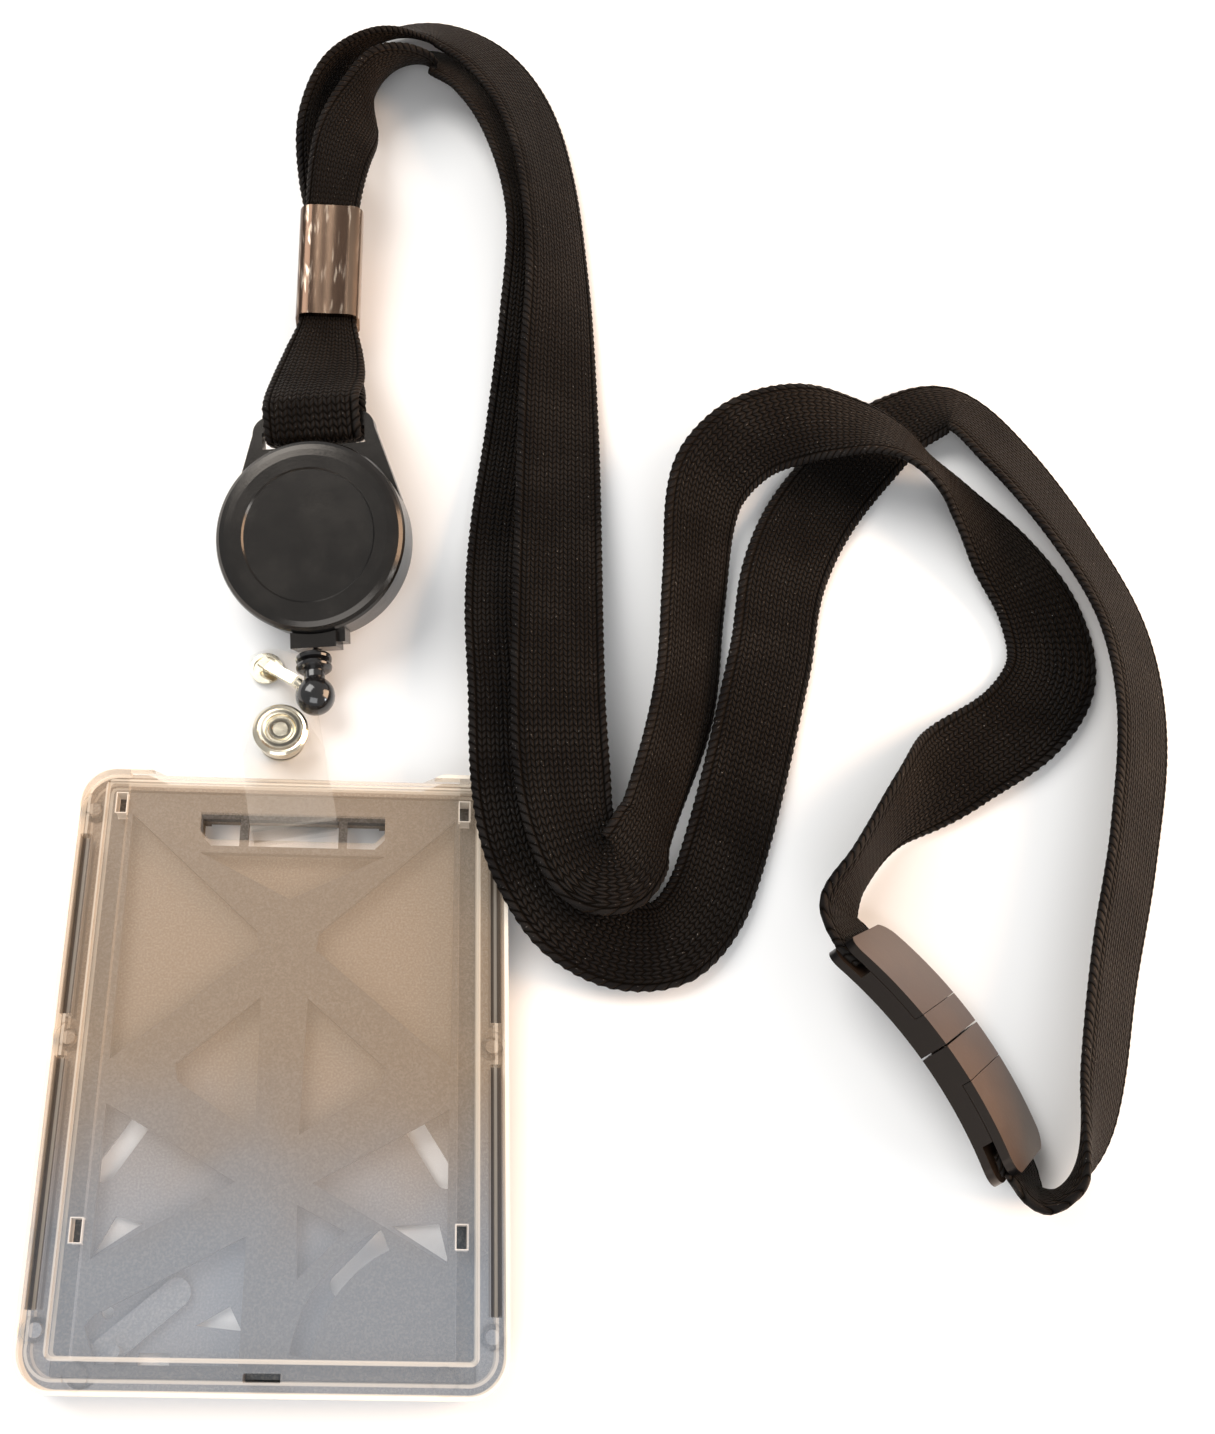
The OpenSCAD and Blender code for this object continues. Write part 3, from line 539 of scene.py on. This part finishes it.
def ribbon(name, rows, banked=False):
    """A flat knitted strap: rounded, beaded edges, and a shallow furrow inside each edge."""
    line, run = flowing(rows * [MM, MM, MM, 1, MM, MM], STEP)
    centre = line[:, :3]
    t = unit(np.gradient(centre, axis=0))
    a = np.radians(line[:, 3])[:, None]
    z = np.array([[0.0, 0.0, 1.0]])
    if banked:
        w = np.cos(a) * [[1.0, 0, 0]] + np.sin(a) * z
    else:
        w = np.cos(a) * unit(np.stack([t[:, 1], -t[:, 0], 0 * t[:, 0]], 1)) - np.sin(a) * z
    w = unit(w - (w * t).sum(1)[:, None] * t)
    u = np.cross(t, w)
    s = np.sin(np.linspace(-1, 1, FACE_POINTS) * math.pi / 2)
    furrow = FURROW_DEPTH * np.exp(-(((np.abs(s) - FURROW_AT) / FURROW_WIDTH) ** 2))
    h = np.sqrt(np.maximum(0, 1 - np.abs(s) ** 7)) - furrow
    h[0] = h[-1] = 0
    s = np.concatenate((s, s[-2:0:-1]))
    h = np.concatenate((h, -h[-2:0:-1]))
    stitches = np.sin(run / MM * 2 * math.pi / EDGE_STITCH)[:, None]
    bead = BEAD * stitches * np.abs(s)[None] ** 10
    swell = 1 + SWELL * stitches * (np.abs(s)[None] > 0.8)
    across = s[None] * line[:, 4:5] / 2 + bead * np.sign(s)[None]
    deep = h[None] * line[:, 5:6] / 2 * swell
    points = centre[:, None] + across[..., None] * w[:, None] + deep[..., None] * u[:, None]
    points[..., 2] = np.maximum(points[..., 2], OFF_TABLE)
    knit_across = np.broadcast_to(s[None] * HALF_STRAP, across.shape)
    knit_along = np.broadcast_to(run[:, None] / MM, across.shape)
    where = np.stack([knit_across, knit_along, 0 * across], -1)
    thing = make_mesh(name, points.reshape(-1, 3), ring_faces(len(run), len(s)), where.reshape(-1, 3), KNIT)
    return thing, centre


left, left_line = ribbon("strap_left", strap_rows(LEFT_ROUTE, 1.7))
right_strap, right_line = ribbon("strap_right", strap_rows(RIGHT_ROUTE, 1.2))
loop_rows = np.array([[*p, w, t] for p, w, t in zip(LOOP_ROUTE, LOOP_WIDTH, LOOP_THICK)], float)
loop, loop_line = ribbon("strap_loop_knit", loop_rows, banked=True)
for piece, node in ((left, "neck_strap_left"), (right_strap, "neck_strap_right"), (loop, "strap_loop")):
    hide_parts(node)
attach(left, "lanyard")
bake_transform(right_strap)
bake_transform(loop)


# thin pull cord from inside the reel's nozzle to the ball; it pays out as the tip is pulled
REEL_CENTRE = np.array([1.1, 88.6, 11.4])
PITCH, BANK = math.radians(20), math.radians(-11)
REEL_AXES = np.array([
    [math.cos(BANK), 0, -math.sin(BANK)],
    [math.sin(BANK) * math.sin(PITCH), math.cos(PITCH), math.cos(BANK) * math.sin(PITCH)],
    [math.sin(BANK) * math.cos(PITCH), -math.sin(PITCH), math.cos(BANK) * math.cos(PITCH)],
])


def reel_point(p):
    return REEL_CENTRE + np.array(p) @ REEL_AXES


def tube(name, rows, radius, around, step, material):
    line, run = flowing(np.array(rows, float) * MM, step)
    t = unit(np.gradient(line, axis=0))
    side = unit(np.stack([t[:, 1], -t[:, 0], 0 * t[:, 0]], 1))
    rise = np.cross(t, side)
    turn_at = np.linspace(0, 2 * math.pi, around, endpoint=False)
    swirl = 1 + 0.07 * np.sin(2 * turn_at[None] + run[:, None] / MM * 7)
    ring = radius * swirl[..., None] * (
        np.cos(turn_at)[None, :, None] * side[:, None] + np.sin(turn_at)[None, :, None] * rise[:, None]
    )
    points = (line[:, None] + ring).reshape(-1, 3)
    return make_mesh(name, points, ring_faces(len(run), around), material=material)


pull = tube("pull_cord_braid", [
    reel_point([8.2, -11.2, 0]), reel_point([1, -15.7, 0]), reel_point([0, -17.2, 0]),
    reel_point([0, -19.1, 0]), [1.76, 69.57, 4.9], [1.79, 69.19, 4.9],
], 0.38 * MM, 12, 0.12 * MM, CORD)
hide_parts("pull_cord")
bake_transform(pull)

# ---------------------------------------------------------------- carried-over CAD nodes

# node: material, width of its rounded edges in mm, whether the edges get the painted highlight
FINISH = {
    "crimp": (CRIMP, 0.5, False),
    "clasp_socket": (CLASP, 0.08, False), "clasp_socket_jaw": (CLASP, 0.45, False),
    "clasp_plug": (CLASP, 0.08, False), "clasp_plug_jaw": (CLASP, 0.45, False),
    "reel_front_cover": (REEL, 0.25, False), "reel_back_case": (REEL, 0.35, False),
    "reel_spool": (SPOOL, 0.1, False), "cord_winding": (CORD, 0.2, False), "mainspring": (STEEL, 0, False),
    "cord_end": (BALL, 0.12, False), "metal_link": (BRIGHT, 0.15, False),
    "badge_strap": (VINYL, 0, False), "strap_flap": (VINYL, 0, False), "strap_eyelet": (BRIGHT, 0.12, False),
    "snap_cap": (SNAP, 0.1, False), "snap_socket": (BRIGHT, 0.2, False),
    "snap_stud": (BRIGHT, 0.05, False), "snap_post": (BRIGHT, 0.1, False),
    "holder_front": (FRONT, 0.28, True), "holder_back": (BACK, 0.25, True),
    "rib_plate": (PLATE, 0.2, False), "ejector_lever": (LEVER, 0.25, False),
}
for node, (material, width, painted_gleam) in FINISH.items():
    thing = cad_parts[node]
    for held in thing.material_slots:
        held.material = material
    if width:
        if painted_gleam:
            thing.data.materials.append(EDGE_HIGHLIGHT)
        flat = thing.modifiers.new("merge flats", "DECIMATE")
        flat.decimate_type = "DISSOLVE"
        flat.angle_limit = math.radians(0.5)
        soft = thing.modifiers.new("rounded edges", "BEVEL")
        soft.limit_method = "ANGLE"
        soft.angle_limit = math.radians(35)
        soft.width = width * MM
        soft.segments = 2
        # the bevel's faces take the painted edge highlight
        if painted_gleam:
            soft.material = len(thing.data.materials) - 1

# ---------------------------------------------------------------- floor and light


def floor_material():
    material, tree, shader = blank("floor", Roughness=0.8)
    shader.inputs["Specular IOR Level"].default_value = 0.2
    drift = noise(tree, position(tree), 3, 3)
    tree.links.new(mixed(tree, drift, (0.93, 0.93, 0.93), (0.95, 0.95, 0.945)), shader.inputs["Base Color"])
    return material


floor = make_mesh(
    "floor", np.array([[-3, -3, -0.00002], [3, -3, -0.00002], [3, 3, -0.00002], [-3, 3, -0.00002]], float),
    [(0, 1, 2, 3)], material=floor_material(),
)


def area_light(name, place, target, size, power, colour):
    light = bpy.data.lights.new(name, "AREA")
    light.shape = "RECTANGLE"
    light.size, light.size_y = size
    light.energy = power
    light.color = colour
    thing = bpy.data.objects.new(name, light)
    scene.collection.objects.link(thing)
    thing.location = place
    thing.rotation_euler = (Vector(target) - Vector(place)).to_track_quat("-Z", "Y").to_euler()


world = bpy.data.worlds.new("studio")
scene.world = world
world.use_nodes = True
world.node_tree.nodes["Background"].inputs["Color"].default_value = (1, 1, 1, 1)
world.node_tree.nodes["Background"].inputs["Strength"].default_value = 0.5
area_light("key", (-0.45, 0.45, 0.7), (0.05, 0.08, 0), (0.6, 0.6), 6.5, (1.0, 0.98, 0.95))
area_light("fill", (-0.1, -0.65, 0.6), (0.05, 0.08, 0), (0.7, 0.5), 3.5, (0.97, 0.98, 1.0))
area_light("warm_side", (0.6, 0.1, 0.17), (0.06, 0.06, 0), (0.4, 0.6), 7.5, (1.0, 0.68, 0.45))
area_light("rim_glint", (0.55, -0.18, 0.15), (0.0, 0.09, 0.012), (0.1, 0.1), 0.5, (0.9, 0.95, 1.0))
